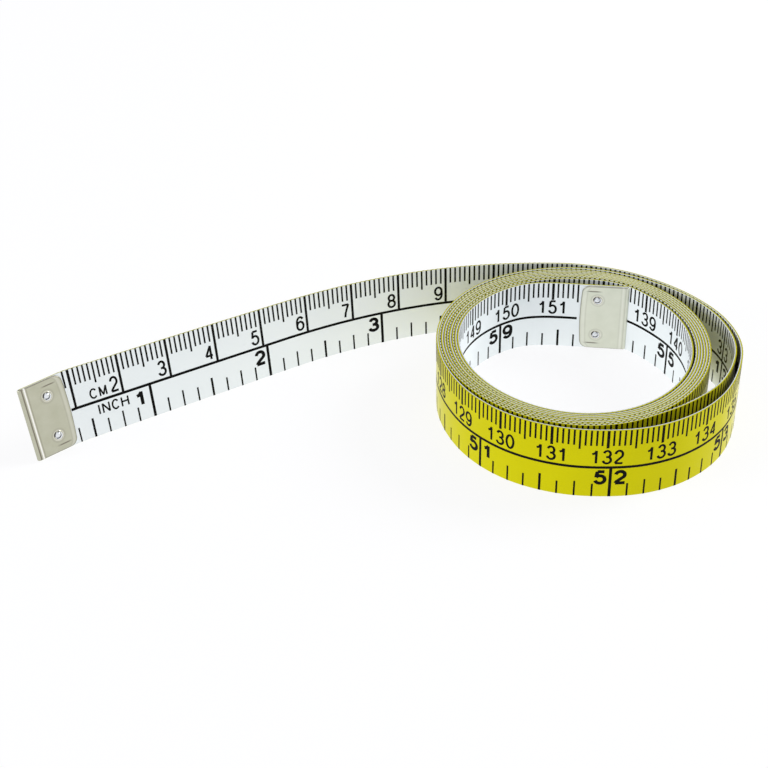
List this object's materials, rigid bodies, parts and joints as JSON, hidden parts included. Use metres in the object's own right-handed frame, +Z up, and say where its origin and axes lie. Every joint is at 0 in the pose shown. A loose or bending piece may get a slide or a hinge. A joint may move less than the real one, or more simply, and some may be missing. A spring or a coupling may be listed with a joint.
{
  "type": "cloth tape measure",
  "caption": "Tailor's cloth tape measure standing on edge in a loose coil, with a bent lead, printed scales on both faces and a riveted metal tag at each end.",
  "frame": {"origin": "on the table, in the middle of the tape's box in plan", "axes": "+X runs along the whole tape from the start tag to the coil's right side, +Y points to the back, +Z is up across the band's width"},
  "size_m": [0.1352, 0.0576, 0.015],
  "materials": {
    "printed_cloth": "smooth coated cloth",
    "tag_metal": "satin nickel plate",
    "rivet_metal": "polished"
  },
  "bodies": {
    "coil": {"wound_turns": "printed_cloth", "end_tag": "tag_metal", "end_tag_rivet_upper": "rivet_metal", "end_tag_rivet_lower": "rivet_metal"},
    "loose_front": {"loose_turn_front": "printed_cloth"},
    "loose_back": {"loose_turn_back": "printed_cloth"},
    "lead_root": {"lead_root": "printed_cloth"},
    "lead_inner": {"lead_inner": "printed_cloth"},
    "lead_outer": {"lead_outer": "printed_cloth"},
    "lead_tip": {"lead_tip": "printed_cloth", "start_tag": "tag_metal", "start_tag_rivet_upper": "rivet_metal", "start_tag_rivet_lower": "rivet_metal"}
  },
  "joints": [
    {"name": "front_flex", "type": "hinge", "parent": "coil", "child": "loose_front", "pos_m": [0.03275, -0.02774, 0.0075], "axis": [0, 0, 1], "range_deg": [-12, 0]},
    {"name": "right_flex", "type": "hinge", "parent": "loose_front", "child": "loose_back", "pos_m": [0.06731, -0.00234, 0.0075], "axis": [0, 0, 1], "range_deg": [-25, 0]},
    {"name": "root_flex", "type": "hinge", "parent": "loose_back", "child": "lead_root", "pos_m": [0.02408, 0.02819, 0.0075], "axis": [0, 0, 1], "range_deg": [-25, 15]},
    {"name": "inner_flex", "type": "hinge", "parent": "lead_root", "child": "lead_inner", "pos_m": [0.00051, 0.02397, 0.0075], "axis": [0, 0, 1], "range_deg": [-25, 25]},
    {"name": "outer_flex", "type": "hinge", "parent": "lead_inner", "child": "lead_outer", "pos_m": [-0.0213, 0.01406, 0.0075], "axis": [0, 0, 1], "range_deg": [-25, 25]},
    {"name": "tip_flex", "type": "hinge", "parent": "lead_outer", "child": "lead_tip", "pos_m": [-0.04229, 0.00243, 0.0075], "axis": [0, 0, 1], "range_deg": [-25, 25]}
  ]
}
